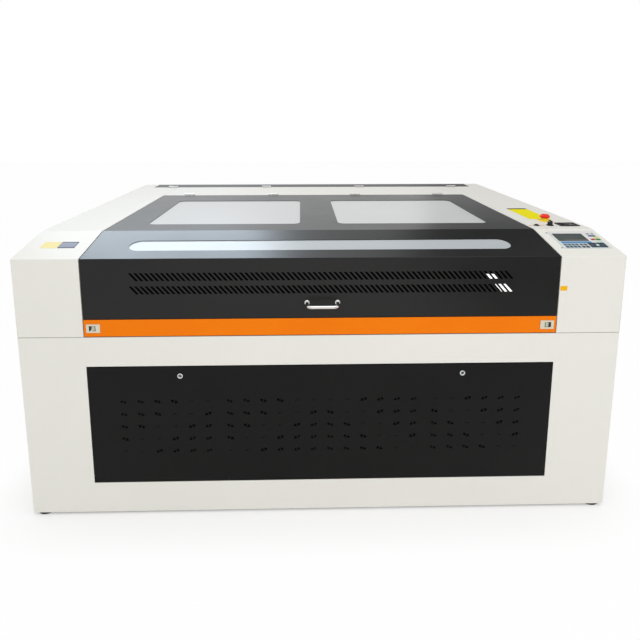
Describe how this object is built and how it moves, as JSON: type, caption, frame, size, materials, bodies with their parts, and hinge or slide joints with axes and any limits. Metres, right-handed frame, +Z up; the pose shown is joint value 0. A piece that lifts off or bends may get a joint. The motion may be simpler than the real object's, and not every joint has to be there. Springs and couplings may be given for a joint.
{
  "type": "laser engraving machine",
  "caption": "Flat-bed laser engraving machine: white cabinet, black hinged lid with windows, orange feed strip, perforated door, moving gantry and lifting table.",
  "frame": {"origin": "middle of the bounding box on the floor", "axes": "+X to the right of the operator, +Y from the front to the back, +Z up"},
  "size_m": [2.15, 1.674, 1.066],
  "materials": {
    "white_paint": "satin powder coat, warm white",
    "black_paint": "satin powder coat, black",
    "orange_paint": "satin powder coat, orange",
    "frame_steel": "grey paint",
    "foot_rubber": "matte black",
    "tube_glass": "clear glass",
    "dark_metal": "black anodised",
    "aluminium": "mill finish",
    "belt_rubber": "toothed belt, matte",
    "panel_plastic": "membrane film over a metal plate",
    "screen_plastic": "glossy screen and raised keys",
    "yellow_plastic": "glossy yellow",
    "black_plastic": "fine grain",
    "bright_steel": "ground steel",
    "milky_acrylic": "milky acrylic pane",
    "chrome": "polished",
    "cream_plastic": "cream moulded plastic",
    "red_plastic": "glossy red"
  },
  "bodies": {
    "chassis": {"base_frame": "frame_steel", "level_feet": "foot_rubber", "floor_pan": "white_paint", "lower_front_panel": "white_paint", "lower_left_panel": "white_paint", "lower_right_panel": "white_paint", "lower_rear_panel": "white_paint", "left_housing": "white_paint", "right_housing": "white_paint", "side_skins": "white_paint", "rear_crossbar": "white_paint", "upper_rear_panel": "white_paint", "tube_tray": "frame_steel", "laser_tube": "tube_glass", "tube_mounts": "dark_metal", "rail_beams": "aluminium", "drive_mounts": "dark_metal", "drive_belts": "belt_rubber", "rear_baffle": "frame_steel", "chip_tray": "aluminium", "electronics": "aluminium", "control_panel": "panel_plastic", "panel_display": "screen_plastic", "stop_collar": "yellow_plastic", "switch_bezels": "black_plastic", "label_plates": "yellow_plastic", "rear_fittings": "aluminium", "hinge_brackets": "bright_steel"},
    "lid": {"lid_top": "black_paint", "lid_front": "black_paint", "lid_windows": "milky_acrylic", "lid_fittings": "chrome"},
    "strut_cylinder_left": {"strut_cylinder_left": "black_paint"},
    "strut_cylinder_right": {"strut_cylinder_right": "black_paint"},
    "strut_rod_left": {"strut_rod_left": "chrome"},
    "strut_rod_right": {"strut_rod_right": "chrome"},
    "rear_cover": {"rear_cover": "black_paint", "rear_cover_leaves": "bright_steel"},
    "front_flap": {"front_flap": "orange_paint", "latch_plates": "cream_plastic"},
    "latch_bolt_left": {"latch_bolt_left": "cream_plastic"},
    "latch_bolt_right": {"latch_bolt_right": "cream_plastic"},
    "front_door": {"front_door": "black_paint"},
    "door_lock_left": {"door_lock_left": "chrome"},
    "door_lock_right": {"door_lock_right": "chrome"},
    "left_door": {"left_door": "white_paint"},
    "right_door": {"right_door": "white_paint"},
    "gantry": {"gantry_beam": "aluminium"},
    "carriage": {"carriage": "dark_metal", "laser_head": "aluminium"},
    "drive_shaft": {"drive_shaft": "bright_steel"},
    "idler_pulleys": {"idler_pulleys": "bright_steel"},
    "table": {"table": "aluminium"},
    "lift_screw_1": {"lift_screw_1": "bright_steel"},
    "lift_screw_2": {"lift_screw_2": "bright_steel"},
    "lift_screw_3": {"lift_screw_3": "bright_steel"},
    "lift_screw_4": {"lift_screw_4": "bright_steel"},
    "stop_button": {"stop_button": "red_plastic"},
    "key_knob": {"key_knob": "dark_metal"},
    "push_button": {"push_button": "black_plastic"}
  },
  "joints": [
    {"name": "lid_hinge", "type": "hinge", "parent": "chassis", "child": "lid", "pos_m": [0, 0.329, 1.0383], "axis": [-1, 0, 0], "range_deg": [0, 50]},
    {"name": "strut_pivot_left", "type": "hinge", "parent": "chassis", "child": "strut_cylinder_left", "pos_m": [-0.826, 0.321, 0.9763], "axis": [-1, 0, 0], "range_deg": [0, 43.6]},
    {"name": "strut_slide_left", "type": "slide", "parent": "strut_cylinder_left", "child": "strut_rod_left", "axis": [0, -0.9708, 0.2398], "range_m": [0, 0.0486]},
    {"name": "strut_pivot_right", "type": "hinge", "parent": "chassis", "child": "strut_cylinder_right", "pos_m": [0.826, 0.321, 0.9763], "axis": [-1, 0, 0], "range_deg": [0, 43.6]},
    {"name": "strut_slide_right", "type": "slide", "parent": "strut_cylinder_right", "child": "strut_rod_right", "axis": [0, -0.9708, 0.2398], "range_m": [0, 0.0486]},
    {"name": "rear_cover_hinge", "type": "hinge", "parent": "chassis", "child": "rear_cover", "pos_m": [0, 0.65, 1.0383], "axis": [1, 0, 0], "range_deg": [0, 90]},
    {"name": "front_flap_hinge", "type": "hinge", "parent": "chassis", "child": "front_flap", "pos_m": [0, -0.78, 0.715], "axis": [1, 0, 0], "range_deg": [0, 90]},
    {"name": "latch_slide_left", "type": "slide", "parent": "front_flap", "child": "latch_bolt_left", "axis": [-1, 0, 0], "range_m": [0, 0.008]},
    {"name": "latch_slide_right", "type": "slide", "parent": "front_flap", "child": "latch_bolt_right", "axis": [1, 0, 0], "range_m": [0, 0.008]},
    {"name": "front_door_hinge", "type": "hinge", "parent": "chassis", "child": "front_door", "pos_m": [0, -0.778, 0.144], "axis": [1, 0, 0], "range_deg": [0, 90]},
    {"name": "door_lock_turn_left", "type": "hinge", "parent": "front_door", "child": "door_lock_left", "pos_m": [-0.51, -0.785, 0.552], "axis": [0, -1, 0], "range_deg": [0, 90]},
    {"name": "door_lock_turn_right", "type": "hinge", "parent": "front_door", "child": "door_lock_right", "pos_m": [0.51, -0.785, 0.552], "axis": [0, -1, 0], "range_deg": [0, 90]},
    {"name": "left_door_hinge", "type": "hinge", "parent": "chassis", "child": "left_door", "pos_m": [-1.068, 0.363, 0.36], "axis": [0, 0, -1], "range_deg": [0, 110]},
    {"name": "right_door_hinge", "type": "hinge", "parent": "chassis", "child": "right_door", "pos_m": [1.068, 0.363, 0.36], "axis": [0, 0, 1], "range_deg": [0, 110]},
    {"name": "gantry_slide", "type": "slide", "parent": "chassis", "child": "gantry", "axis": [0, -1, 0], "range_m": [0, 1]},
    {"name": "carriage_slide", "type": "slide", "parent": "gantry", "child": "carriage", "axis": [-1, 0, 0], "range_m": [0, 1.52]},
    {"name": "drive_shaft_turn", "type": "hinge", "parent": "chassis", "child": "drive_shaft", "pos_m": [0, 0.595, 0.852], "axis": [1, 0, 0], "range_deg": [0, 2870]},
    {"name": "idler_turn", "type": "hinge", "parent": "chassis", "child": "idler_pulleys", "pos_m": [0, -0.701, 0.852], "axis": [1, 0, 0], "range_deg": [0, 2870]},
    {"name": "table_lift", "type": "slide", "parent": "chassis", "child": "table", "axis": [0, 0, -1], "range_m": [0, 0.15]},
    {"name": "screw_turn_1", "type": "hinge", "parent": "chassis", "child": "lift_screw_1", "pos_m": [-0.853, -0.665, 0.36], "axis": [0, 0, 1], "range_deg": [0, 2710]},
    {"name": "screw_turn_2", "type": "hinge", "parent": "chassis", "child": "lift_screw_2", "pos_m": [0.853, -0.665, 0.36], "axis": [0, 0, 1], "range_deg": [0, 2710]},
    {"name": "screw_turn_3", "type": "hinge", "parent": "chassis", "child": "lift_screw_3", "pos_m": [-0.853, 0.255, 0.36], "axis": [0, 0, 1], "range_deg": [0, 2710]},
    {"name": "screw_turn_4", "type": "hinge", "parent": "chassis", "child": "lift_screw_4", "pos_m": [0.853, 0.255, 0.36], "axis": [0, 0, 1], "range_deg": [0, 2710]},
    {"name": "stop_press", "type": "slide", "parent": "chassis", "child": "stop_button", "axis": [0, 0, -1], "range_m": [0, 0.005], "stiffness_N_per_m": 600, "springref_m": -0.002},
    {"name": "key_turn", "type": "hinge", "parent": "chassis", "child": "key_knob", "pos_m": [0.938, -0.498, 1.04], "axis": [0, 0, 1], "range_deg": [0, 90]},
    {"name": "button_press", "type": "slide", "parent": "chassis", "child": "push_button", "axis": [0, 0, -1], "range_m": [0, 0.003], "stiffness_N_per_m": 400, "springref_m": -0.001}
  ],
  "couplings": [
    {"joint": "strut_pivot_left", "follows": "lid_hinge", "ratio": 0.87},
    {"joint": "strut_pivot_right", "follows": "lid_hinge", "ratio": 0.87},
    {"joint": "strut_slide_left", "follows": "lid_hinge", "m_per_rad": 0.0555},
    {"joint": "strut_slide_right", "follows": "lid_hinge", "m_per_rad": 0.0555},
    {"joint": "drive_shaft_turn", "follows": "gantry_slide", "rad_per_m": 50},
    {"joint": "idler_turn", "follows": "gantry_slide", "rad_per_m": 50},
    {"joint": "screw_turn_1", "follows": "table_lift", "rad_per_m": 314.16},
    {"joint": "screw_turn_2", "follows": "table_lift", "rad_per_m": 314.16},
    {"joint": "screw_turn_3", "follows": "table_lift", "rad_per_m": 314.16},
    {"joint": "screw_turn_4", "follows": "table_lift", "rad_per_m": 314.16}
  ]
}
